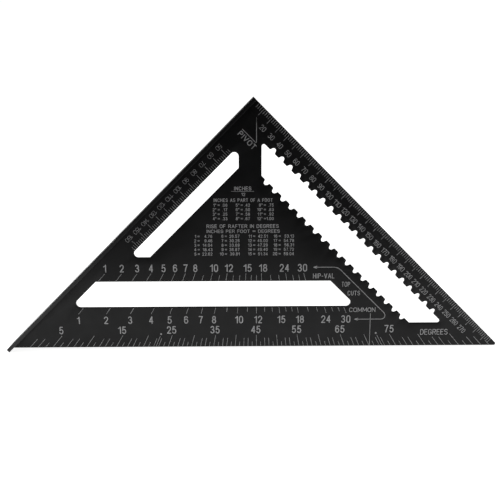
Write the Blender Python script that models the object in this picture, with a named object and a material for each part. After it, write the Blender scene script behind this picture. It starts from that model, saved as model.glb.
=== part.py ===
"""A 12 inch speed square: a flat triangular blade held in a T-shaped fence bar by countersunk drive pins.

The square stands upright on its long edge, with the blade in the XZ plane and the right angle at the top.
Two distances place everything on it, both measured from the pivot, the corner where the fence's shoulder
meets the rule edge:
    p  runs down the fence side, away from the rule edge
    q  runs down the rule edge, away from the fence's shoulder
"""

import math

import bmesh
import bpy

ROOT2 = math.sqrt(2)

# Driving dimensions, in metres.
LEG = 0.3048  # pivot to the far tip, 12 inches
BLADE_THICKNESS = 0.0030
TIP_RADIUS = 0.0015
FENCE_WIDTH = 0.0254
FENCE_THICKNESS = 0.0032
FENCE_LENGTH = LEG + 0.0005  # the square-cut end stands just past the blade's long edge
TONGUE_DEPTH = 0.0012  # how far the blade's edge goes into the fence
GAP = 0.0003  # between pieces that meet

# Scribing window, beside the rule edge.
SCRIBE_NEAR = 0.0210  # p of the side nearest the rule edge
SCRIBE_FAR = 0.04173
SCRIBE_TOP_END = 0.0044  # sideways from the pivot to the upright top end
SCRIBE_LOW_END = 0.1948  # down from the pivot to the level lower end
SCRIBE_RADIUS = 0.0018

# Pencil notches along both sides of the scribing window.
NOTCH_PITCH = 0.010
NEAR_NOTCHES = (0.040, 0.240)  # q of the first and the last
FAR_NOTCHES = (0.055, 0.225)
NOTCH_DEPTH = 0.0035
NOTCH_RADIUS = 0.0021
NOTCH_FLARE = math.radians(20)  # lean of each notch wall
TOOTH_RADIUS = 0.0009

# Scale slot, beside the fence.
SLOT_NEAR = 0.01635  # q of the side nearest the fence
SLOT_FAR = 0.0295
SLOT_TOP_END = -0.0150
SLOT_LOW_END = 0.1341
SLOT_RADIUS = 0.0036

# Rafter window, above the long edge.
RAFTER_TOP = 0.1555  # down from the pivot
RAFTER_BASE = 0.1790
RAFTER_FENCE_END = 0.01095  # q of the end nearest the fence
RAFTER_RULE_END = 0.0642  # p of the end nearest the rule edge
RAFTER_RADIUS = 0.0038
BLUNT_RADIUS = 0.0010  # wide corners of every window

# Drive pins.
PIN_COUNT = 7
PIN_MARGIN = 0.020  # p of the first pin, and the last pin's distance from the fence's end
PIN_RADIUS = 0.00075
PIN_HEAD_RADIUS = 0.00140
PIN_HEAD_DEPTH = 0.0007
PIN_LENGTH = 0.0106
PIN_CLEARANCE = 0.00025
PIN_SIDES = 16
PIN_LEAN = math.radians(135)  # turn about +Y that points a pin from the fence into the blade

ARC_STEP = math.radians(22.5)
CUT_MARGIN = 0.002  # how far a cutter runs past what it cuts
SHARP_ANGLE = math.radians(30)  # creases of turned pieces that stay sharp
METALLIC = 0.6  # of the blackened surfaces

# The pivot's place, which puts the origin at the bottom centre of the whole square.
LEFT_END = -(FENCE_LENGTH + FENCE_THICKNESS) / ROOT2
RIGHT_END = LEG / ROOT2 - ROOT2 * TIP_RADIUS
PIVOT_X = -(LEFT_END + RIGHT_END) / 2
PIVOT_Z = FENCE_LENGTH / ROOT2


def clear_scene():
    for obj in list(bpy.data.objects):
        bpy.data.objects.remove(obj, do_unlink=True)


def at(p, q, y=0.0):
    """The world position of a point given by its two distances from the pivot."""
    return (PIVOT_X + (q - p) / ROOT2, y, PIVOT_Z - (p + q) / ROOT2)


def level(down, q):
    """The (p, q) point a given distance below the pivot and q from the fence."""
    return (ROOT2 * down - q, q)


def upright(sideways, p):
    """The (p, q) point a given distance to the right of the pivot and p from the rule edge."""
    return (p, p + ROOT2 * sideways)


def material(name, colour, roughness):
    made = bpy.data.materials.new(name)
    made.use_nodes = True
    shader = made.node_tree.nodes["Principled BSDF"]
    shader.inputs["Base Color"].default_value = (*colour, 1)
    shader.inputs["Metallic"].default_value = METALLIC
    shader.inputs["Roughness"].default_value = roughness
    return made


def round_corner(before, corner, after, radius):
    """Points of the arc that rounds off one corner of an outline."""
    (bx, by), (cx, cy), (ax, ay) = before, corner, after
    to_before = math.atan2(by - cy, bx - cx)
    to_after = math.atan2(ay - cy, ax - cx)
    turn = (to_after - to_before + math.pi) % (2 * math.pi) - math.pi
    reach = radius / math.sin(abs(turn) / 2)
    middle = to_before + turn / 2
    centre = (cx + reach * math.cos(middle), cy + reach * math.sin(middle))
    sweep = math.pi - abs(turn)
    steps = max(2, round(sweep / ARC_STEP))
    start = to_before - math.copysign(math.pi / 2, turn)
    step = -math.copysign(sweep, turn) / steps
    return [
        (centre[0] + radius * math.cos(start + i * step), centre[1] + radius * math.sin(start + i * step))
        for i in range(steps + 1)
    ]


def rounded(corners):
    """An outline from (point, radius) corners; a radius of None leaves the corner sharp."""
    points = [point for point, _ in corners]
    outline = []
    for i, (point, radius) in enumerate(corners):
        if radius is None:
            outline.append(point)
        else:
            outline += round_corner(points[i - 1], point, points[(i + 1) % len(points)], radius)
    return outline


def notch(side, centre, outward):
    """Points of one notch, in order of q. outward is +1 where it cuts towards larger p, else -1."""
    arc_depth = NOTCH_DEPTH - NOTCH_RADIUS  # depth of the round bottom's centre
    mouth = NOTCH_RADIUS / math.cos(NOTCH_FLARE) + arc_depth * math.tan(NOTCH_FLARE)
    touch = (arc_depth + NOTCH_RADIUS * math.sin(NOTCH_FLARE), NOTCH_RADIUS * math.cos(NOTCH_FLARE))
    lip = round_corner((0, 2 * mouth), (0, mouth), touch, TOOTH_RADIUS)
    half_turn = math.pi / 2 - NOTCH_FLARE
    steps = round(half_turn / ARC_STEP)
    bottom = [
        (arc_depth + NOTCH_RADIUS * math.cos(a), NOTCH_RADIUS * math.sin(a))
        for a in (half_turn * i / steps for i in range(steps, 0, -1))
    ]
    half = lip + bottom
    left = [(side + outward * depth, centre - across) for depth, across in half]
    right = [(side + outward * depth, centre + across) for depth, across in reversed(half)]
    return left + [(side + outward * NOTCH_DEPTH, centre)] + right


def notch_row(side, first_last, outward):
    first, last = first_last
    count = round((last - first) / NOTCH_PITCH) + 1
    return [point for i in range(count) for point in notch(side, first + i * NOTCH_PITCH, outward)]


def blade_outline():
    return rounded([
        ((0, -TONGUE_DEPTH), None),
        ((0, LEG), TIP_RADIUS),
        ((LEG, 0), None),
        ((LEG, -TONGUE_DEPTH), None),
    ])


def scribe_window():
    near_top = upright(SCRIBE_TOP_END, SCRIBE_NEAR)
    far_top = upright(SCRIBE_TOP_END, SCRIBE_FAR)
    near_low = (SCRIBE_NEAR, ROOT2 * SCRIBE_LOW_END - SCRIBE_NEAR)
    far_low = (SCRIBE_FAR, ROOT2 * SCRIBE_LOW_END - SCRIBE_FAR)
    return (
        round_corner(far_top, near_top, near_low, SCRIBE_RADIUS)
        + notch_row(SCRIBE_NEAR, NEAR_NOTCHES, -1)
        + round_corner(near_top, near_low, far_low, SCRIBE_RADIUS)
        + round_corner(near_low, far_low, far_top, BLUNT_RADIUS)
        + notch_row(SCRIBE_FAR, FAR_NOTCHES, 1)[::-1]
        + round_corner(far_low, far_top, near_top, BLUNT_RADIUS)
    )


def scale_slot():
    near_top = (SLOT_NEAR - ROOT2 * SLOT_TOP_END, SLOT_NEAR)
    far_top = (SLOT_FAR - ROOT2 * SLOT_TOP_END, SLOT_FAR)
    return rounded([
        (near_top, SLOT_RADIUS),
        (far_top, BLUNT_RADIUS),
        (level(SLOT_LOW_END, SLOT_FAR), BLUNT_RADIUS),
        (level(SLOT_LOW_END, SLOT_NEAR), SLOT_RADIUS),
    ])


def rafter_window():
    return rounded([
        (level(RAFTER_TOP, RAFTER_FENCE_END), BLUNT_RADIUS),
        (level(RAFTER_BASE, RAFTER_FENCE_END), RAFTER_RADIUS),
        ((RAFTER_RULE_END, ROOT2 * RAFTER_BASE - RAFTER_RULE_END), RAFTER_RADIUS),
        ((RAFTER_RULE_END, ROOT2 * RAFTER_TOP - RAFTER_RULE_END), BLUNT_RADIUS),
    ])


def bar(name, outline, half_width):
    """A solid of the outline's shape, reaching half_width to each side of the blade's middle."""
    mesh = bpy.data.meshes.new(name)
    build = bmesh.new()
    face = build.faces.new([build.verts.new(at(p, q, -half_width)) for p, q in outline])
    side = bmesh.ops.extrude_face_region(build, geom=[face])["geom"]
    moved = [item for item in side if isinstance(item, bmesh.types.BMVert)]
    bmesh.ops.translate(build, verts=moved, vec=(0, 2 * half_width, 0))
    bmesh.ops.recalc_face_normals(build, faces=build.faces)
    build.to_mesh(mesh)
    build.free()
    return add(name, mesh)


def add(name, mesh):
    obj = bpy.data.objects.new(name, mesh)
    bpy.context.scene.collection.objects.link(obj)
    return obj


def turned(name, profile):
    """A mesh turned about Z from (radius, height) points that start and end on the axis."""
    mesh = bpy.data.meshes.new(name)
    build = bmesh.new()
    verts = [build.verts.new((radius, 0, height)) for radius, height in profile]
    edges = [build.edges.new(pair) for pair in zip(verts, verts[1:])]
    bmesh.ops.spin(
        build, geom=verts + edges, cent=(0, 0, 0), axis=(0, 0, 1), angle=2 * math.pi, steps=PIN_SIDES
    )
    bmesh.ops.remove_doubles(build, verts=build.verts, dist=1e-6)
    bmesh.ops.recalc_face_normals(build, faces=build.faces)
    build.to_mesh(mesh)
    build.free()
    mesh.shade_smooth()
    mesh.set_sharp_from_angle(angle=SHARP_ANGLE)
    return mesh


def pin_profile(margin=0.0, overrun=0.0):
    """A countersunk pin's outline, grown by margin, with its head carried overrun past the fence's face."""
    head = PIN_HEAD_RADIUS + margin
    shank = PIN_RADIUS + margin
    return [
        (0, -overrun),
        (head, -overrun),
        (head, 0),
        (shank, PIN_HEAD_DEPTH),
        (shank, PIN_LENGTH + margin),
        (0, PIN_LENGTH + margin),
    ]


def seat_on_fence(obj, p):
    """Puts a turned shape on the fence's outer face, pointing into the blade."""
    obj.location = at(p, -FENCE_THICKNESS)
    obj.rotation_euler = (0, PIN_LEAN, 0)


def cut(obj, cutter):
    cutter.hide_render = True
    cutter.display_type = "WIRE"
    modifier = obj.modifiers.new(cutter.name, "BOOLEAN")
    modifier.operation = "DIFFERENCE"
    modifier.object = cutter


def pin_places():
    """p of each drive pin."""
    step = (FENCE_LENGTH - 2 * PIN_MARGIN) / (PIN_COUNT - 1)
    return [PIN_MARGIN + i * step for i in range(PIN_COUNT)]


def make_pin_drills():
    mesh = turned("pin_drill", pin_profile(PIN_CLEARANCE, CUT_MARGIN))
    drills = []
    for i, p in enumerate(pin_places(), 1):
        drill = add(f"pin_drill_{i}", mesh)
        seat_on_fence(drill, p)
        drills.append(drill)
    return drills


def make_blade(finish, drills):
    blade = bar("blade", blade_outline(), BLADE_THICKNESS / 2)
    blade.data.materials.append(finish)
    for name, outline in (
        ("cut_scribe_window", scribe_window()),
        ("cut_scale_slot", scale_slot()),
        ("cut_rafter_window", rafter_window()),
    ):
        cut(blade, bar(name, outline, BLADE_THICKNESS / 2 + CUT_MARGIN))
    for drill in drills:
        cut(blade, drill)


def make_fence(finish, drills):
    outline = [(0, -FENCE_THICKNESS), (0, 0), (FENCE_LENGTH, 0), (FENCE_LENGTH, -FENCE_THICKNESS)]
    fence = bar("fence_bar", outline, FENCE_WIDTH / 2)
    fence.data.materials.append(finish)
    floor = -TONGUE_DEPTH - GAP
    groove = [
        (-CUT_MARGIN, floor),
        (-CUT_MARGIN, CUT_MARGIN),
        (FENCE_LENGTH + CUT_MARGIN, CUT_MARGIN),
        (FENCE_LENGTH + CUT_MARGIN, floor),
    ]
    cut(fence, bar("cut_blade_groove", groove, BLADE_THICKNESS / 2 + GAP))
    for drill in drills:
        cut(fence, drill)


def make_pins(finish):
    mesh = turned("drive_pin", pin_profile())
    mesh.materials.append(finish)
    for i, p in enumerate(pin_places(), 1):
        seat_on_fence(add(f"drive_pin_{i}", mesh), p)


def main():
    clear_scene()
    anodised = material("black_anodised", (0.012, 0.012, 0.013), 0.42)
    drills = make_pin_drills()
    make_blade(anodised, drills)
    make_fence(anodised, drills)
    make_pins(material("worn_pin", (0.075, 0.075, 0.078), 0.36))


main()
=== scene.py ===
"""Looks of a 12 inch speed square: a black anodised blade and fence, with paint-filled engraved scales.

Flat places on the blade are in millimetres from the pivot, the corner where the fence's shoulder meets the
rule edge. They come in two forms:
    (x, y)  right of the pivot, and up from it, so that y is negative all over the blade
    (p, q)  down the fence side and down the rule edge, which flat() turns into (x, y)
"""

import math

import bpy
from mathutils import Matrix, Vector
from mathutils.geometry import delaunay_2d_cdt


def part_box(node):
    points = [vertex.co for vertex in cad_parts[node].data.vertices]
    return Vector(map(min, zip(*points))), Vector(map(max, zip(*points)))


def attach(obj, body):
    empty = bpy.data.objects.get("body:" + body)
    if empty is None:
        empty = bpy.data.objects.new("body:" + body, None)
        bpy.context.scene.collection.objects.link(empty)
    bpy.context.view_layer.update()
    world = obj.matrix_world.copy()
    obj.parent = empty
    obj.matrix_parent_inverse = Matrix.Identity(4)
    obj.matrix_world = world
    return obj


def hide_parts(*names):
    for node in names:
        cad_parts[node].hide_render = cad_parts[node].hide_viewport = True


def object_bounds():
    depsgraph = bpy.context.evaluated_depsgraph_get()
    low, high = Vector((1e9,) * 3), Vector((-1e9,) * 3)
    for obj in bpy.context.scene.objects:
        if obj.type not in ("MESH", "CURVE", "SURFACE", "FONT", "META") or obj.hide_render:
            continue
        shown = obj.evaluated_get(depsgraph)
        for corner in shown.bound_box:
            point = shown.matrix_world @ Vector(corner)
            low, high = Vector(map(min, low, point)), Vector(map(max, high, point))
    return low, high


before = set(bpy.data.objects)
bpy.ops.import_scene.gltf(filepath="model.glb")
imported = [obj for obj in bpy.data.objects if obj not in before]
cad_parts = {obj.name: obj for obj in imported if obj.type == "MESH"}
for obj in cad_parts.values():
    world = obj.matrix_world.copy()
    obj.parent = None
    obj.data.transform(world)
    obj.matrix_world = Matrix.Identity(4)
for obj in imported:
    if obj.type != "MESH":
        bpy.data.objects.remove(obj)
cad_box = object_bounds()

MM = 0.001
ROOT2 = math.sqrt(2)

# Sizes of the blade and the fence, in millimetres.
LEG = 304.8  # each leg of the blade, from the pivot
TIP_RADIUS = 1.5
TONGUE = 1.2  # the blade's depth in the fence's groove
FENCE_THICKNESS = 3.2
GROOVE_GAP = 0.06  # on both sides of the tongue, and under it
RIM_RADIUS = 0.3  # rounding of the blade's rims
FENCE_RADIUS = 0.4  # rounding of the fence's long edges

# Fineness of the meshes.
ARC_STEP = math.radians(9)
RIM_STEPS = 3
RIM_EDGE = 0.1  # an outline's edge shorter than this, in millimetres, is part of a rounded edge
SHARP = math.radians(40)  # faces that meet at a larger angle keep a crease between them
TURNED_SHARP = math.radians(25)

# Engraving, in millimetres.
CUT_DEPTH = 0.10
PAINT_TOP = 0.03  # depth of the paint's surface in a cut
PAINT_BASE = 0.09
EDGE_SPACE = 0.34  # between a tick and the edge it starts from
MERGE = 1e-4  # points closer than this are one

# The frame's places, in metres.
blade_low, blade_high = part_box("blade")
fence_low, fence_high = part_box("fence_bar")
pivot_x = fence_high.x
pivot_z = fence_high.z - FENCE_THICKNESS * MM / ROOT2
fence_length = (pivot_z - fence_low.z) * ROOT2 / MM
front = blade_low.y / MM
back = blade_high.y / MM


def flat(p, q):
    """(x, y) of the point at two distances from the pivot."""
    return ((q - p) / ROOT2, -(p + q) / ROOT2)


def on_blade(x, y, depth):
    """World position of a flat place at a given depth along +Y."""
    return (pivot_x + x * MM, depth * MM, pivot_z + y * MM)


def on_fence(across, q, p):
    """World position on the fence, for a profile that runs along it."""
    return on_blade(*flat(p, q), across)


# Outlines ------------------------------------------------------------------------------------------------


def arc(centre, radius, start, sweep, step=ARC_STEP):
    steps = max(2, round(abs(sweep) / step))
    turns = [start + sweep * i / steps for i in range(steps + 1)]
    return [(centre[0] + radius * math.cos(a), centre[1] + radius * math.sin(a)) for a in turns]


def round_corner(before, corner, after, radius):
    """Points of the arc that rounds off one corner of a path."""
    (bx, by), (cx, cy), (ax, ay) = before, corner, after
    to_before = math.atan2(by - cy, bx - cx)
    to_after = math.atan2(ay - cy, ax - cx)
    turn = (to_after - to_before + math.pi) % (2 * math.pi) - math.pi
    reach = radius / math.sin(abs(turn) / 2)
    middle = to_before + turn / 2
    centre = (cx + reach * math.cos(middle), cy + reach * math.sin(middle))
    start = to_before - math.copysign(math.pi / 2, turn)
    return arc(centre, radius, start, -math.copysign(math.pi - abs(turn), turn))


def rounded(corners):
    """A closed outline from (point, radius) corners; a radius of None leaves the corner sharp."""
    points = [point for point, _ in corners]
    outline = []
    for i, (point, radius) in enumerate(corners):
        if radius is None:
            outline.append(point)
        else:
            outline += round_corner(points[i - 1], point, points[(i + 1) % len(points)], radius)
    return outline


NOTCH_DEPTH, NOTCH_RADIUS, TOOTH_RADIUS, NOTCH_PITCH = 3.5, 2.1, 0.9, 10
NOTCH_FLARE = math.radians(20)


def notch(side, centre, outward):
    """Points of one pencil notch, in order of q. outward is +1 where it cuts towards larger p, else -1."""
    arc_depth = NOTCH_DEPTH - NOTCH_RADIUS
    mouth = NOTCH_RADIUS / math.cos(NOTCH_FLARE) + arc_depth * math.tan(NOTCH_FLARE)
    touch = (arc_depth + NOTCH_RADIUS * math.sin(NOTCH_FLARE), NOTCH_RADIUS * math.cos(NOTCH_FLARE))
    half_turn = math.pi / 2 - NOTCH_FLARE
    lip = round_corner((0, 2 * mouth), (0, mouth), touch, TOOTH_RADIUS)
    half = lip + arc((arc_depth, 0), NOTCH_RADIUS, half_turn, -half_turn)
    left = [(side + outward * depth, centre - across) for depth, across in half[:-1]]
    right = [(side + outward * depth, centre + across) for depth, across in reversed(half)]
    return left + right


def notch_row(side, first, last, outward):
    places = range(first, last + 1, NOTCH_PITCH)
    return [point for centre in places for point in notch(side, centre, outward)]


def blade_outline():
    return rounded([
        ((0, -TONGUE), None),
        ((0, LEG), TIP_RADIUS),
        ((LEG, 0), None),
        ((LEG, -TONGUE), None),
    ])


def scribe_window():
    near, far, right, down, radius, blunt = 21.0, 41.73, 4.4, 194.8, 1.8, 1.0
    near_top = (near, near + ROOT2 * right)
    far_top = (far, far + ROOT2 * right)
    near_low = (near, ROOT2 * down - near)
    far_low = (far, ROOT2 * down - far)
    return (
        round_corner(far_top, near_top, near_low, radius)
        + notch_row(near, 40, 240, -1)
        + round_corner(near_top, near_low, far_low, radius)
        + round_corner(near_low, far_low, far_top, blunt)
        + notch_row(far, 55, 225, 1)[::-1]
        + round_corner(far_low, far_top, near_top, blunt)
    )


SLOT_NEAR = 16.35  # q of the side nearest the fence


def scale_slot():
    far, left, down, radius, blunt = 29.5, 15.0, 134.1, 3.6, 1.0
    return rounded([
        ((SLOT_NEAR + ROOT2 * left, SLOT_NEAR), radius),
        ((far + ROOT2 * left, far), blunt),
        ((ROOT2 * down - far, far), blunt),
        ((ROOT2 * down - SLOT_NEAR, SLOT_NEAR), radius),
    ])


RAFTER_TOP, RAFTER_BASE = 155.5, 179.0  # down from the pivot


def rafter_window():
    fence_end, rule_end, radius, blunt = 10.95, 64.2, 3.8, 1.0
    return rounded([
        ((ROOT2 * RAFTER_TOP - fence_end, fence_end), blunt),
        ((ROOT2 * RAFTER_BASE - fence_end, fence_end), radius),
        ((rule_end, ROOT2 * RAFTER_BASE - rule_end), radius),
        ((rule_end, ROOT2 * RAFTER_TOP - rule_end), blunt),
    ])


def fence_profile():
    """The bar's section as (across, q), with the groove that holds the blade's tongue."""
    half, groove, floor = fence_high.y / MM, back + GROOVE_GAP, -TONGUE - GROOVE_GAP
    return rounded([
        ((-half, -FENCE_THICKNESS), FENCE_RADIUS),
        ((half, -FENCE_THICKNESS), FENCE_RADIUS),
        ((half, 0), FENCE_RADIUS),
        ((groove, 0), None),
        ((groove, floor), None),
        ((-groove, floor), None),
        ((-groove, 0), None),
        ((-half, 0), FENCE_RADIUS),
    ])


# Meshes --------------------------------------------------------------------------------------------------


def area(loop):
    return sum(loop[i - 1][0] * y - x * loop[i - 1][1] for i, (x, y) in enumerate(loop)) / 2


def anticlockwise(loop):
    return loop if area(loop) > 0 else loop[::-1]


def inset(loop, distance):
    """An anticlockwise loop moved to its left, which is inwards for a positive distance."""
    moved = []
    for i, (x, y) in enumerate(loop):
        sides = []
        for (ax, ay), (bx, by) in ((loop[i - 1], (x, y)), ((x, y), loop[(i + 1) % len(loop)])):
            length = math.hypot(bx - ax, by - ay)
            sides.append(((ay - by) / length, (bx - ax) / length))
        (ax, ay), (bx, by) = sides
        share = distance / (1 + ax * bx + ay * by)
        moved.append((x + share * (ax + bx), y + share * (ay + by)))
    return moved


def triangulate(outlines, groups):
    """Fills the space between outlines, the first of which is the outer one.

    Returns the points, the first of which are the outlines' own, then the triangles outside every mark, and
    those inside a mark, by group. A group is a list of marks, and a mark a list of loops."""
    loops = list(outlines)
    owners = {}
    for name, marks in groups.items():
        for number, mark in enumerate(marks):
            for loop in mark:
                owners[len(loops)] = (name, number)
                loops.append(loop)
    points = [Vector(point) for loop in loops for point in loop]
    polygons, start = [], 0
    for loop in loops:
        polygons.append(list(range(start, start + len(loop))))
        start += len(loop)
    verts, _, triangles, sources, _, inside = delaunay_2d_cdt(points, [], polygons, 1, MERGE, True)
    place = {source: i for i, found in enumerate(sources) for source in found}
    rims = [[place[i] for i in polygon] for polygon in polygons[: len(outlines)]]
    holes = set(range(1, len(outlines)))
    plain, marked = [], {name: [] for name in groups}
    for triangle, found in zip(triangles, inside):
        if holes.intersection(found):
            continue
        counts = {}
        for i in found:
            if i in owners:
                counts[owners[i]] = counts.get(owners[i], 0) + 1
        filled = [owner for owner, count in counts.items() if count % 2]
        (marked[filled[0][0]] if filled else plain).append(triangle)
    return verts, rims, plain, marked


def rim_edges(triangles):
    """The directed edges that only one of these triangles has."""
    edges = {(t[i - 1], t[i]) for t in triangles for i in range(3)}
    return [edge for edge in edges if edge[::-1] not in edges]


def new_object(name, points, flat_faces, smooth_faces=(), rim_faces=(), materials=()):
    """A mesh object from world points. Its rim faces are smooth, and take the second material."""
    mesh = bpy.data.meshes.new(name)
    mesh.from_pydata(points, [], [*flat_faces, *smooth_faces, *rim_faces])
    kinds = [0] * len(flat_faces) + [1] * len(smooth_faces) + [2] * len(rim_faces)
    mesh.polygons.foreach_set("use_smooth", [kind > 0 for kind in kinds])
    for finish in materials:
        mesh.materials.append(finish)
    mesh.polygons.foreach_set("material_index", [kind // 2 for kind in kinds])
    obj = bpy.data.objects.new(name, mesh)
    bpy.context.scene.collection.objects.link(obj)
    return obj


def slab(name, outlines, near, far, radius, place, materials, groups=None):
    """A plate between two depths, with rounded rims and with the groups' marks cut into its near face.

    Returns the object and the cut triangles of each group with their flat points."""
    outlines = [anticlockwise(loop) for loop in outlines]
    turns = [math.pi / 2 * i / RIM_STEPS for i in range(RIM_STEPS + 1)]
    rings = [(radius * (1 - math.sin(a)), near + radius * (1 - math.cos(a))) for a in turns]
    rings += [(shrink, near + far - depth) for shrink, depth in reversed(rings)]
    signs = [1] + [-1] * (len(outlines) - 1)
    caps = [inset(loop, sign * radius) for loop, sign in zip(outlines, signs)]

    verts, near_rims, plain, marked = triangulate(caps, groups or {})
    points = [(x, y, near) for x, y in verts]
    cut = [triangle for triangles in marked.values() for triangle in triangles]
    lowered = {}
    for i in sorted({i for triangle in cut for i in triangle}):
        lowered[i] = len(points)
        points.append((*verts[i], near + CUT_DEPTH))
    flat_faces = [tuple(triangle) for triangle in plain]
    flat_faces += [tuple(lowered[i] for i in triangle) for triangle in cut]
    flat_faces += [(a, lowered[a], lowered[b], b) for a, b in rim_edges(cut)]

    start = len(points)
    far_verts, far_rims, far_plain, _ = triangulate(caps, {})
    points += [(x, y, far) for x, y in far_verts]
    flat_faces += [tuple(start + i for i in reversed(triangle)) for triangle in far_plain]

    walls, rims = [], []
    for loop, sign, near_rim, far_rim in zip(outlines, signs, near_rims, far_rims):
        rows = [near_rim]
        for shrink, depth in rings[1:-1]:
            rows.append(list(range(len(points), len(points) + len(loop))))
            points += [(x, y, depth) for x, y in inset(loop, sign * shrink)]
        rows.append([start + i for i in far_rim])
        for number, (upper, lower) in enumerate(zip(rows, rows[1:])):
            for i in range(len(loop)):
                quad = (upper[i], upper[i - 1], lower[i - 1], lower[i])
                rounded_off = number != RIM_STEPS or math.dist(loop[i - 1], loop[i]) < RIM_EDGE
                (rims if rounded_off else walls).append(quad if sign > 0 else quad[::-1])

    obj = new_object(name, [place(*point) for point in points], flat_faces, walls, rims, materials)
    obj.data.set_sharp_from_angle(angle=SHARP)
    return obj, verts, marked


def inlay(name, verts, triangles, finish):
    """The paint in a group's cuts, as closed flakes with their surface just under the blade's face."""
    used = sorted({i for triangle in triangles for i in triangle})
    order = {i: n for n, i in enumerate(used)}
    points = [on_blade(*verts[i], front + PAINT_TOP) for i in used]
    points += [on_blade(*verts[i], front + PAINT_BASE) for i in used]
    under = len(used)
    tops = [tuple(order[i] for i in triangle) for triangle in triangles]
    bases = [tuple(under + i for i in reversed(top)) for top in tops]
    walls = [(order[b], order[a], under + order[a], under + order[b]) for a, b in rim_edges(triangles)]
    return new_object(name, points, tops + bases + walls, materials=[finish])


# Marks ---------------------------------------------------------------------------------------------------


def sides(points, width):
    """The left and the right side of a line along a path."""
    left, right = [], []
    for i, (x, y) in enumerate(points):
        ax, ay = points[max(i - 1, 0)]
        bx, by = points[min(i + 1, len(points) - 1)]
        length = math.hypot(bx - ax, by - ay)
        across = (width / 2 * (ay - by) / length, width / 2 * (bx - ax) / length)
        left.append((x + across[0], y + across[1]))
        right.append((x - across[0], y - across[1]))
    return left, right


def stroke(points, width):
    """A line with square ends, as a mark."""
    left, right = sides(points, width)
    return [anticlockwise(left + right[::-1])]


def round_end(point, side, width):
    """Points that lead from one side of a line's end round to its other side."""
    start = math.atan2(side[1] - point[1], side[0] - point[0])
    return arc(point, width / 2, start, -math.pi, math.pi / 4)[1:-1]


def pen_line(points, width):
    """A round pen's line, as a mark. A path that ends where it starts gives a ring."""
    if math.dist(points[0], points[-1]) < MERGE:
        ring = anticlockwise(points[:-1])
        return [inset(ring, -width / 2), inset(ring, width / 2)]
    left, right = sides(points, width)
    far_end = round_end(points[-1], left[-1], width)
    near_end = round_end(points[0], right[0], width)
    return [anticlockwise(left + far_end + right[::-1] + near_end)]


def dot(centre, radius):
    return [arc(centre, radius, 0, 2 * math.pi)[:-1]]


def arrow_head(x, y, length, width, pen):
    """An open head that points to the left, with its tip at (x, y)."""
    ends = ((x + length, y + width / 2), (x + length, y - width / 2))
    return [pen_line([(x, y), end], pen) for end in ends]


# Lettering: a plain alphabet for a round pen. A glyph is its width, as a share of a digit's, and the pen's
# paths in a box one wide and one high.

GLYPH_STEP = math.radians(18)


def bow(x, y, wide, high, start, sweep):
    """Points of an oval's arc, with its angles in degrees."""
    turns = arc((0, 0), 1, math.radians(start), math.radians(sweep), GLYPH_STEP)
    return [(x + wide * u, y + high * v) for u, v in turns]


def flipped(paths):
    return [[(1 - u, 1 - v) for u, v in path] for path in paths]


OVAL = [*bow(0.5, 0.7, 0.5, 0.3, 0, 180), *bow(0.5, 0.3, 0.5, 0.3, 180, 180), (1, 0.7)]
OPEN_OVAL = [*bow(0.5, 0.7, 0.5, 0.3, 25, 155), *bow(0.5, 0.3, 0.5, 0.3, 180, 155)]
SIX = [bow(0.5, 0.31, 0.5, 0.31, 0, 360), [*bow(0.5, 0.7, 0.5, 0.3, 25, 155), (0, 0.31)]]
STEM = [(0, 0), (0, 1)]
HEAD = [(0, 1), (1, 1)]
FOOT = [(0, 0), (1, 0)]
BOWL = [(0, 1), *bow(0.6, 0.75, 0.4, 0.25, 90, -180), (0, 0.5)]
BELLY = [(0, 1), *bow(0.45, 0.6, 0.55, 0.4, 90, -90), *bow(0.45, 0.4, 0.55, 0.4, 0, -90), (0, 0)]

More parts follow.
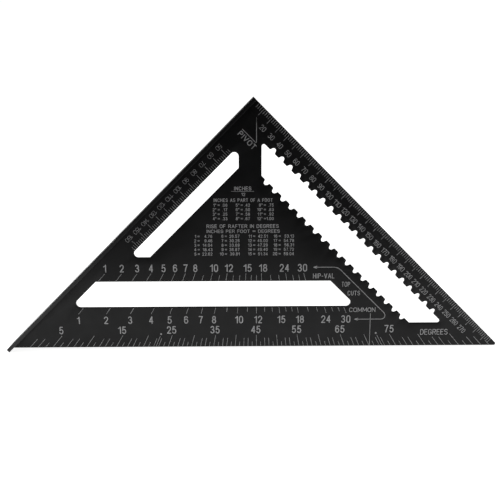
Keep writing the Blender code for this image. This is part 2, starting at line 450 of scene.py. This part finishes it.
GLYPHS = {
    " ": (0.4, []),
    ".": (0.0, [[(0, 0), (0, 0.02)]]),
    "-": (0.5, [[(0, 0.45), (1, 0.45)]]),
    "=": (1.2, [[(0, 0.36), (1, 0.36)], [(0, 0.66), (1, 0.66)]]),
    '"': (0.4, [[(0, 1), (0, 0.75)], [(1, 1), (1, 0.75)]]),
    "0": (1.0, [OVAL]),
    "1": (0.6, [[(1, 0), (1, 1)], [(1, 1), (0.65, 0.85), (0, 0.77)]]),
    "2": (1.0, [[*bow(0.5, 0.72, 0.5, 0.28, 170, -215), (0, 0)], FOOT]),
    "3": (1.0, [bow(0.48, 0.755, 0.44, 0.245, 160, -250), bow(0.5, 0.26, 0.5, 0.26, 90, -250)]),
    "4": (1.0, [[(0.76, 0), (0.76, 1)], [(0.76, 1), (0, 0.28)], [(0, 0.28), (1, 0.28)]]),
    "5": (1.0, [[(0.9, 1), (0.16, 1)], [(0.16, 1), (0.08, 0.5)], bow(0.48, 0.32, 0.52, 0.32, 145, -300)]),
    "6": (1.0, SIX),
    "7": (1.0, [HEAD, [(1, 1), (0.6, 0.55), (0.35, 0)]]),
    "8": (1.0, [bow(0.5, 0.76, 0.42, 0.24, 0, 360), bow(0.5, 0.27, 0.5, 0.27, 0, 360)]),
    "9": (1.0, flipped(SIX)),
    "A": (1.1, [[(0, 0), (0.5, 1)], [(0.5, 1), (1, 0)], [(0.17, 0.33), (0.83, 0.33)]]),
    "C": (1.0, [OPEN_OVAL]),
    "D": (1.0, [STEM, BELLY]),
    "E": (0.85, [STEM, HEAD, FOOT, [(0, 0.52), (0.9, 0.52)]]),
    "F": (0.8, [STEM, HEAD, [(0, 0.5), (0.9, 0.5)]]),
    "G": (1.05, [OPEN_OVAL, [(0.95, 0.17), (1, 0.46)], [(1, 0.46), (0.6, 0.46)]]),
    "H": (1.0, [STEM, flipped([STEM])[0], [(0, 0.5), (1, 0.5)]]),
    "I": (0.0, [STEM]),
    "L": (0.8, [STEM, FOOT]),
    "M": (1.25, [STEM, [(0, 1), (0.5, 0.2)], [(0.5, 0.2), (1, 1)], [(1, 1), (1, 0)]]),
    "N": (1.0, [STEM, [(0, 1), (1, 0)], [(1, 0), (1, 1)]]),
    "O": (1.1, [OVAL]),
    "P": (0.95, [STEM, BOWL]),
    "R": (1.0, [STEM, BOWL, [(0.6, 0.5), (1, 0)]]),
    "S": (1.0, [[*bow(0.5, 0.74, 0.48, 0.26, 25, 200), *bow(0.5, 0.27, 0.5, 0.27, 45, -205)]]),
    "T": (0.95, [HEAD, [(0.5, 1), (0.5, 0)]]),
    "U": (1.0, [[(0, 1), *bow(0.5, 0.3, 0.5, 0.3, 180, 180), (1, 1)]]),
    "V": (1.1, [[(0, 1), (0.5, 0)], [(0.5, 0), (1, 1)]]),
}

PEN = 0.13  # the pen's width, as a share of the letters' height
TABLE_PEN = 0.155
SPACING = 2.0  # pen widths from one glyph's box to the next
SLIM = 0.44  # a digit box's width, as a share of the letters' height
CENTRE, RIGHT = 0.5, 1


def lettering(text, x, y, tall, slim=SLIM, angle=0.0, span=None, anchor=CENTRE, weight=PEN):
    """Marks of a text whose middle height is at (x, y). span, where given, is its whole width."""
    pen = weight * tall
    fixed = SPACING * pen * (len(text) - 1) + pen
    shares = sum(GLYPHS[letter][0] for letter in text)
    digit = (span - fixed) / shares if span else tall * slim
    start = pen / 2 - anchor * (digit * shares + fixed)
    c, s = math.cos(angle), math.sin(angle)
    marks = []
    for letter in text:
        share, paths = GLYPHS[letter]
        for path in paths:
            local = [(start + share * digit * u, (v - 0.5) * (tall - pen)) for u, v in path]
            marks.append(pen_line([(x + c * u - s * v, y + s * u + c * v) for u, v in local], pen))
        start += share * digit + SPACING * pen
    return marks


DOWN_RULE = math.radians(-45)  # reading direction along the rule edge
DOWN_FENCE = math.radians(-135)
TICK = 0.34
RULE_TICK = 0.40
LABEL_SPAN = {2: 5.3, 3: 7.5}  # by the number of digits


def scale_label(number, place, tall, angle, weight):
    label = str(number)
    return lettering(label, *place, tall, angle=angle, span=LABEL_SPAN[len(label)], weight=weight)


def rule_scale():
    long_reach, short_reach, label_p, label_lag = 7.8, 4.7, 12.8, 0.4
    marks = []
    for q in range(4, 298, 2):
        reach = long_reach if q % 10 == 0 else short_reach
        marks.append(stroke([flat(EDGE_SPACE, q), flat(reach, q)], RULE_TICK))
    for q in range(20, 271, 10):
        marks += scale_label(q, flat(label_p, q + label_lag), 4.5, DOWN_RULE, 0.10)
    return marks


def fence_scale():
    start, long_end, short_end, label_q = SLOT_NEAR - EDGE_SPACE, 8.5, 12.0, 5.3
    marks = []
    for p in range(46, 166, 2):
        end = long_end if p % 10 == 0 else short_end
        marks.append(stroke([flat(p, start), flat(p, end)], TICK))
    for p in range(50, 161, 10):
        marks += scale_label(p, flat(p, label_q), 3.9, DOWN_FENCE, 0.075)
    return marks


def on_ray(tangent, down):
    """The place that far down on a ray from the pivot, whose angle from the fence has this tangent."""
    return (down * (tangent - 1) / (tangent + 1), -down)


def ray(tangent, start, end):
    """A tick that lies on a ray from the pivot, between two distances down from it."""
    return stroke([on_ray(tangent, start), on_ray(tangent, end)], TICK)


EDGE_DOWN = LEG / ROOT2
NUMBER_TALL, NUMBER_SLIM = 6.95, 0.40


def ray_number(n, tangent, tick_end, shift, y):
    """A number at the end of its tick, moved to the right by the shift."""
    x, _ = on_ray(tangent, tick_end)
    return lettering(str(n), x + shift, y, NUMBER_TALL, NUMBER_SLIM)


def degree_scale():
    foot, long_end, middle_end, short_end = EDGE_DOWN - EDGE_SPACE, 204.7, 207.5, 211.0
    dotted_end, dot_down, dot_radius = 205.5, 203.6, 0.8
    number_shift, number_y = -0.5, -199.75
    marks = []
    for n in range(2, 90):
        end = long_end if n % 5 == 0 else middle_end if n % 5 in (2, 3) else short_end
        marks.append(ray(math.tan(math.radians(n)), foot, end))
    for angle in (22.5, 72.5):
        tangent = math.tan(math.radians(angle))
        marks.append(ray(tangent, foot, dotted_end))
        marks.append(dot(on_ray(tangent, dot_down), dot_radius))
    for n in range(5, 80, 10):
        marks += ray_number(n, math.tan(math.radians(n)), long_end, number_shift, number_y)
    return marks + lettering("DEGREES", 157.8, -202.9, 5.2, span=24.5, weight=0.115)


ROW_TICKS = (*range(1, 19), *range(20, 31, 2))
ROW_NUMBERS = (*range(1, 9), 10, 12, 15, 18, 24, 30)


def rafter_row(run, foot, long_end, short_end, shifts, number_y):
    """Ticks and numbers for the inches of rise over a run.

    The shifts move the numbers to the right of their ticks: those up to 8, those up to 18, and the rest."""
    marks = []
    for n in ROW_TICKS:
        marks.append(ray(n / run, foot, long_end if n in ROW_NUMBERS else short_end))
    for n in ROW_NUMBERS:
        marks += ray_number(n, n / run, long_end, shifts[min(n // 10, 2)], number_y)
    return marks


def common_row():
    marks = rafter_row(run=12, foot=RAFTER_BASE + EDGE_SPACE, long_end=184.8, short_end=183.3,
                       shifts=(-0.4, 1.5, -0.2), number_y=-190.5)
    return marks + lettering("COMMON", 93.4, -182.0, 4.1, span=23.2)


def hip_valley_row():
    marks = rafter_row(run=12 * ROOT2, foot=RAFTER_TOP - EDGE_SPACE, long_end=148.3, short_end=150.0,
                       shifts=(0.2, 1.5, -1.1), number_y=-143.6)
    return marks + lettering("HIP-VAL", 58.7, -151.0, 4.6, span=18.7)


def top_cuts_loop():
    """Two words, the line that ties both rafter rows together, and the upright line that crosses it."""
    upper, lower, upper_end, lower_end, along, bend, turn = -143.2, -190.7, 49.8, 86.8, 51.1, 9.0, 3.4
    pen, head_length, head_width = 0.55, 2.8, 2.0
    upright_x, upright_top, upright_width = 100.7, -185.3, 0.45
    corner = flat(along, -ROOT2 * upper - along)
    far_corner = flat(along, -ROOT2 * lower - along)
    path = [(upper_end, upper)]
    path += round_corner(path[0], corner, far_corner, bend)
    path += round_corner(corner, far_corner, (lower_end, lower), turn)
    return [
        stroke(path + [(lower_end, lower)], pen),
        *arrow_head(upper_end, upper, head_length, head_width, pen),
        *arrow_head(lower_end, lower, head_length, head_width, pen),
        *lettering("TOP", 78.3, -158.7, 4.5, span=7.4, weight=0.11),
        *lettering("CUTS", 85.5, -166.75, 4.3, span=11.0),
        stroke([(upright_x, upright_top), (upright_x, EDGE_SPACE - EDGE_DOWN)], upright_width),
    ]


def pivot_mark():
    """The word and its two lines, of which the upright one thins out at its top."""
    slanted_p, upright_x, low, thin_from, top, width, thin_width = 25.4, 0.1, -35.3, -18.6, -14.5, 0.6, 0.25
    return [
        *lettering("PIVOT", *flat(29.1, 18.1), 4.85, span=18.6, angle=DOWN_RULE, weight=0.16),
        stroke([flat(slanted_p, 8.6), flat(slanted_p, 25.0)], width),
        stroke([(upright_x, low), (upright_x, thin_from)], width),
        stroke([(upright_x, thin_from), (upright_x, top)], thin_width),
    ]


TABLE_TALL, TABLE_PITCH = 2.8, 3.9
LABEL_END, EQUALS_PLACE = 4.4, 6.5  # from a column's left side


def table_text(text, x, y, tall=TABLE_TALL, **settings):
    return lettering(text, x, y, tall, weight=TABLE_PEN, **settings)


def table(columns, rows, top, label, value):
    """Cells for 1, 2, 3 and on, down each column in turn. A column is given by its left and right sides."""
    marks = []
    for i, (left, right) in enumerate(columns):
        for j in range(rows):
            n, y = rows * i + j + 1, top - TABLE_PITCH * j
            marks += table_text(label(n), left + LABEL_END, y, anchor=RIGHT)
            marks += table_text("=", left + EQUALS_PLACE, y)
            marks += table_text(value(n), right, y, anchor=RIGHT)
    return marks


def inch_table():
    columns = ((-38.7, -24.8), (-19.0, -5.5), (0.8, 14.8))
    return [
        *table_text("INCHES", -11.6, -74.0, 3.4, span=14.7),
        stroke([(-21.5, -76.5), (-2.0, -76.5)], 0.35),
        *table_text("12", -11.2, -79.1, 3.0),
        *table_text("INCHES AS PART OF A FOOT", -11.3, -84.0, 3.1, span=50.3),
        *table(columns, 4, -88.3, lambda n: f'{n}"', lambda n: f"{n / 12:.2f}".lstrip("0")),
    ]


def rafter_table():
    columns = ((-56.3, -38.0), (-32.8, -14.5), (-8.4, 9.8), (13.6, 32.5))
    return [
        *table_text("RISE OF RAFTER IN DEGREES", -11.8, -106.6, 3.3, span=62.0),
        *table_text("INCHES PER FOOT = DEGREES", -11.3, -111.0, 3.0, span=63.0),
        *table(columns, 5, -115.4, str, lambda n: f"{math.degrees(math.atan(n / 12)):.2f}"),
    ]


# Materials -----------------------------------------------------------------------------------------------


def node(tree, kind, **settings):
    """A node with its properties and its input values set; an input's name has its spaces left out."""
    made = tree.nodes.new(kind)
    for name, value in settings.items():
        if hasattr(made, name):
            setattr(made, name, value)
        else:
            made.inputs[name.replace("_", " ")].default_value = value
    return made


def surface(name, roughness, metallic=0.0, specular=0.5):
    """A new material, with its node tree and its shader."""
    made = bpy.data.materials.new(name)
    made.use_nodes = True
    shader = made.node_tree.nodes["Principled BSDF"]
    shader.inputs["Roughness"].default_value = roughness
    shader.inputs["Metallic"].default_value = metallic
    shader.inputs["Specular IOR Level"].default_value = specular
    return made, made.node_tree, shader


def ramp(tree, source, low, high, target):
    """Spreads a noise's middle values between two numbers, and links them to a socket."""
    spread = node(tree, "ShaderNodeMapRange", From_Min=0.35, From_Max=0.65, To_Min=low, To_Max=high)
    tree.links.new(source, spread.inputs["Value"])
    tree.links.new(spread.outputs["Result"], target)


def two_tone(tree, source, dark, light, target):
    """Mixes two colours by a noise, and links the result to a socket."""
    mixed = node(tree, "ShaderNodeMix", data_type="RGBA")
    colours = [socket for socket in mixed.inputs if socket.type == "RGBA"]
    colours[0].default_value = (*dark, 1)
    colours[1].default_value = (*light, 1)
    factor = next(socket for socket in mixed.inputs if socket.name == "Factor" and socket.enabled)
    ramp(tree, source, 0.0, 1.0, factor)
    result = next(socket for socket in mixed.outputs if socket.type == "RGBA")
    tree.links.new(result, target)


def noise(tree, scale, detail=2.0, stretch=None, turn=0.0):
    """Noise in the object's own coordinates, scaled along each axis by stretch and then turned about Y."""
    place = node(tree, "ShaderNodeTexCoord")
    mapped = node(tree, "ShaderNodeMapping")
    mapped.inputs["Rotation"].default_value = (0, turn, 0)
    mapped.inputs["Scale"].default_value = stretch or (1, 1, 1)
    made = node(tree, "ShaderNodeTexNoise", Scale=scale, Detail=detail)
    tree.links.new(place.outputs["Object"], mapped.inputs["Vector"])
    tree.links.new(mapped.outputs["Vector"], made.inputs["Vector"])
    return made.outputs["Fac"]


def bump(tree, shader, height, strength, distance):
    made = node(tree, "ShaderNodeBump", Strength=strength, Distance=distance)
    tree.links.new(height, made.inputs["Height"])
    tree.links.new(made.outputs["Normal"], shader.inputs["Normal"])


def anodised(name, dark, light, rough, specular, grain_stretch=None):
    """Black anodised aluminium: cloudy tone and sheen over a fine grain, which grain_stretch can draw out."""
    made, tree, shader = surface(name, rough[0], specular=specular)
    two_tone(tree, noise(tree, 38.0, detail=4.0), dark, light, shader.inputs["Base Color"])
    ramp(tree, noise(tree, 90.0, detail=3.0), *rough, shader.inputs["Roughness"])
    grain = noise(tree, 2600.0, detail=3.0, stretch=grain_stretch, turn=math.radians(45))
    bump(tree, shader, grain, strength=0.25, distance=0.00003)
    return made


def rubbed_edge():
    """Rims, where handling has polished the black coat and shows a little bare metal."""
    made, tree, shader = surface("rubbed_edge", 0.40, metallic=0.15, specular=0.25)
    two_tone(tree, noise(tree, 260.0, detail=5.0), (0.0045, 0.0045, 0.0048), (0.016, 0.016, 0.017),
             shader.inputs["Base Color"])
    bump(tree, shader, noise(tree, 1800.0), strength=0.2, distance=0.00003)
    return made


def silver_paint():
    made, tree, shader = surface("silver_paint", 0.55, specular=0.3)
    two_tone(tree, noise(tree, 420.0, detail=4.0), (0.36, 0.36, 0.365), (0.48, 0.48, 0.485),
             shader.inputs["Base Color"])
    bump(tree, shader, noise(tree, 5200.0), strength=0.3, distance=0.00002)
    return made


def pin_steel():
    """Blackened pin heads, worn to grey steel in places."""
    made, tree, shader = surface("pin_steel", 0.36, metallic=0.5)
    two_tone(tree, noise(tree, 700.0, detail=4.0), (0.045, 0.045, 0.047), (0.110, 0.110, 0.114),
             shader.inputs["Base Color"])
    bump(tree, shader, noise(tree, 3400.0), strength=0.3, distance=0.00003)
    return made


def white_floor():
    """A sheet that glows a little, as if lit from below, which keeps the shadows on it faint."""
    made, tree, shader = surface("white_floor", 0.9, specular=0.1)
    shader.inputs["Emission Color"].default_value = (1, 1, 1, 1)
    shader.inputs["Emission Strength"].default_value = 0.92
    two_tone(tree, noise(tree, 3.0), (0.83, 0.83, 0.83), (0.86, 0.86, 0.86), shader.inputs["Base Color"])
    return made


# Pieces --------------------------------------------------------------------------------------------------


def keep(piece, material_slot, *nodes):
    """Hangs a piece of the object under the root body, and hides the CAD nodes that it stands for."""
    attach(piece, "root")
    if nodes:
        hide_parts(*nodes)


def turned(name, profile, steps, finish):
    """A shape turned about its own Z from (radius, height) points that start and end on the axis."""
    points = [(0, 0, profile[0][1] * MM)]
    rows = []
    for radius, height in profile[1:-1]:
        rows.append(range(len(points), len(points) + steps))
        angles = [2 * math.pi * i / steps for i in range(steps)]
        points += [(radius * MM * math.cos(a), radius * MM * math.sin(a), height * MM) for a in angles]
    points.append((0, 0, profile[-1][1] * MM))
    end = len(points) - 1
    faces = [(0, rows[0][i], rows[0][i - 1]) for i in range(steps)]
    for upper, lower in zip(rows, rows[1:]):
        faces += [(upper[i - 1], upper[i], lower[i], lower[i - 1]) for i in range(steps)]
    faces += [(end, rows[-1][i - 1], rows[-1][i]) for i in range(steps)]
    obj = new_object(name, points, [], faces, materials=[finish])
    obj.data.set_sharp_from_angle(angle=TURNED_SHARP)
    return obj


PINS = range(1, 8)
PIN_HEAD, PIN_SHANK = 1.4, 0.75  # radii, in millimetres
PIN_CROWN = 0.12  # height of a head above the fence's outer face
PIN_CONE, PIN_LENGTH = 0.7, 10.6  # depth of the head's cone and of the pin, from the same face
PIN_CHAMFER, PIN_POINT = 0.3, 0.25  # length and depth of the bevel at the pin's inner end
PIN_FIT = 0.05  # gap between a pin and its hole
PIN_STEPS = 40
INTO_FENCE = (0, math.radians(135), 0)  # turns +Z to point from the fence's outer face into the blade


def pin_place(i):
    """World place of a pin's head on the fence's outer face."""
    low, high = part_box(f"drive_pin_{i}")
    middle = (low + high) / 2
    right, down = (middle.x - pivot_x) / MM, (pivot_z - middle.z) / MM
    return on_fence(0, -FENCE_THICKNESS, (down - right) / ROOT2)


def seat(obj, i):
    obj.location = pin_place(i)
    obj.rotation_euler = INTO_FENCE


def make_pins(finish):
    crown = [(0, -PIN_CROWN), (0.6, -0.1), (1.05, -0.05), (PIN_HEAD - 0.08, 0.0), (PIN_HEAD, 0.06)]
    shank = [(PIN_SHANK, PIN_CONE), (PIN_SHANK, PIN_LENGTH - PIN_CHAMFER),
             (PIN_SHANK - PIN_POINT, PIN_LENGTH)]
    for i in PINS:
        pin = turned(f"drive_pin_{i}_turned", [*crown, *shank, (0, PIN_LENGTH)], PIN_STEPS, finish)
        seat(pin, i)
        keep(pin, "pins", f"drive_pin_{i}")


def drill(obj, i, finish):
    """Adds the cut of one countersunk hole to the fence, and returns the cutter."""
    head, shank, above, end = PIN_HEAD + PIN_FIT, PIN_SHANK + PIN_FIT, -1.0, PIN_LENGTH + PIN_FIT
    profile = [(0, above), (head, above), (head, 0.0), (shank, PIN_CONE), (shank, end), (0, end)]
    cutter = turned(f"drill_{i}", profile, PIN_STEPS, finish)
    seat(cutter, i)
    bpy.context.view_layer.update()
    modifier = obj.modifiers.new(f"drill_{i}", "BOOLEAN")
    modifier.operation = "DIFFERENCE"
    modifier.object = cutter
    return cutter


def make_fence(finish, edge, pin_finish):
    fence, _, _ = slab("fence_rail", [fence_profile()], 0.0, fence_length, FENCE_RADIUS, on_fence,
                       [finish, edge])
    cutters = [drill(fence, i, pin_finish) for i in PINS]
    shape = fence.evaluated_get(bpy.context.evaluated_depsgraph_get())
    mesh = bpy.data.meshes.new_from_object(shape)
    fence.modifiers.clear()
    fence.data = mesh
    for cutter in cutters:
        bpy.data.objects.remove(cutter)
    keep(fence, "fence", "fence_bar")


def make_blade(finish, edge, paint):
    groups = {
        "rule_scale": rule_scale(),
        "fence_side_scale": fence_scale(),
        "degree_scale": degree_scale(),
        "common_rafter_scale": common_row(),
        "hip_valley_scale": hip_valley_row(),
        "top_cuts_loop": top_cuts_loop(),
        "pivot_mark": pivot_mark(),
        "inch_table": inch_table(),
        "rafter_angle_table": rafter_table(),
    }
    outlines = [[flat(p, q) for p, q in outline]
                for outline in (blade_outline(), scribe_window(), scale_slot(), rafter_window())]
    blade, verts, marked = slab("blade_plate", outlines, front, back, RIM_RADIUS, on_blade,
                                [finish, edge], groups)
    keep(blade, "blade", "blade")
    for name, triangles in marked.items():
        keep(inlay(name, verts, triangles, paint), "markings")


# Studio --------------------------------------------------------------------------------------------------


FLOOR_FRONT, FLOOR_SIDE, FLOOR_BACK = -0.255, 30.0, 30.0  # metres from the object's middle


def make_floor():
    """A white floor that ends in front, so that the blade's upper part mirrors the dim studio beyond it."""
    low = cad_box[0].z
    corners = [(-FLOOR_SIDE, FLOOR_FRONT, low), (FLOOR_SIDE, FLOOR_FRONT, low),
               (FLOOR_SIDE, FLOOR_BACK, low), (-FLOOR_SIDE, FLOOR_BACK, low)]
    floor = new_object("studio_floor", corners, [(0, 1, 2, 3)], materials=[white_floor()])


def make_world(seen, ambient):
    """A white studio to the camera, and a dimmer one to the surfaces that it lights."""
    world = bpy.data.worlds.new("studio")
    world.use_nodes = True
    tree = world.node_tree
    plain = tree.nodes["Background"]
    plain.inputs["Color"].default_value = (1, 1, 1, 1)
    plain.inputs["Strength"].default_value = ambient
    white = node(tree, "ShaderNodeBackground", Strength=seen)
    white.inputs["Color"].default_value = (1, 1, 1, 1)
    choice = node(tree, "ShaderNodeMixShader")
    path = node(tree, "ShaderNodeLightPath")
    output = next(n for n in tree.nodes if n.type == "OUTPUT_WORLD")
    tree.links.new(path.outputs["Is Camera Ray"], choice.inputs["Fac"])
    tree.links.new(plain.outputs["Background"], choice.inputs[1])
    tree.links.new(white.outputs["Background"], choice.inputs[2])
    tree.links.new(choice.outputs["Shader"], output.inputs["Surface"])
    bpy.context.scene.world = world


def overhead_sun(strength, spread):
    """Light straight from above, the same all over the floor and softer the more degrees it spreads."""
    light = bpy.data.lights.new("overhead", "SUN")
    light.energy = strength
    light.angle = math.radians(spread)
    bpy.context.scene.collection.objects.link(bpy.data.objects.new("overhead", light))


def back_panel(place, target, size, power):
    """A soft panel behind the square, which shows the shape of its back and of the fence's outer face."""
    light = bpy.data.lights.new("back_panel", "AREA")
    light.size = size
    light.energy = power
    obj = bpy.data.objects.new("back_panel", light)
    obj.location = place
    obj.rotation_euler = (Vector(target) - Vector(place)).to_track_quat("-Z", "Y").to_euler()
    bpy.context.scene.collection.objects.link(obj)


def make_lights():
    make_world(seen=1.03, ambient=0.04)
    overhead_sun(strength=0.6, spread=60)
    back_panel(place=(-1.6, 1.2, 1.5), target=(0, 0, 0.1), size=1.2, power=30)
    bpy.context.scene.view_settings.view_transform = "Standard"


CAMERA_FROM_PIVOT = (-0.0132, -0.6414, 0.0176)  # metres
CAMERA_TURN = (77.22, 0.10, -0.71)  # degrees about X, Y and Z
FOCAL_LENGTH, SENSOR_WIDTH = 54.66, 36.0  # millimetres


def make_camera():
    camera = bpy.data.cameras.new("camera")
    camera.lens = FOCAL_LENGTH
    camera.sensor_width = SENSOR_WIDTH
    obj = bpy.data.objects.new("camera", camera)
    obj.location = Vector((pivot_x, 0, pivot_z)) + Vector(CAMERA_FROM_PIVOT)
    obj.rotation_euler = [math.radians(a) for a in CAMERA_TURN]
    bpy.context.scene.collection.objects.link(obj)
    bpy.context.scene.camera = obj


def main():
    blade_coat = anodised("blade_coat", dark=(0.0042, 0.0042, 0.0045), light=(0.0062, 0.0062, 0.0066),
                          rough=(0.38, 0.46), specular=0.25)
    fence_coat = anodised("fence_coat", dark=(0.0060, 0.0060, 0.0064), light=(0.0085, 0.0085, 0.0090),
                          rough=(0.36, 0.44), specular=0.35, grain_stretch=(1, 1, 0.02))
    edge = rubbed_edge()
    pin_finish = pin_steel()
    make_camera()
    make_blade(blade_coat, edge, silver_paint())
    make_fence(fence_coat, edge, pin_finish)
    make_pins(pin_finish)
    make_floor()
    make_lights()


main()
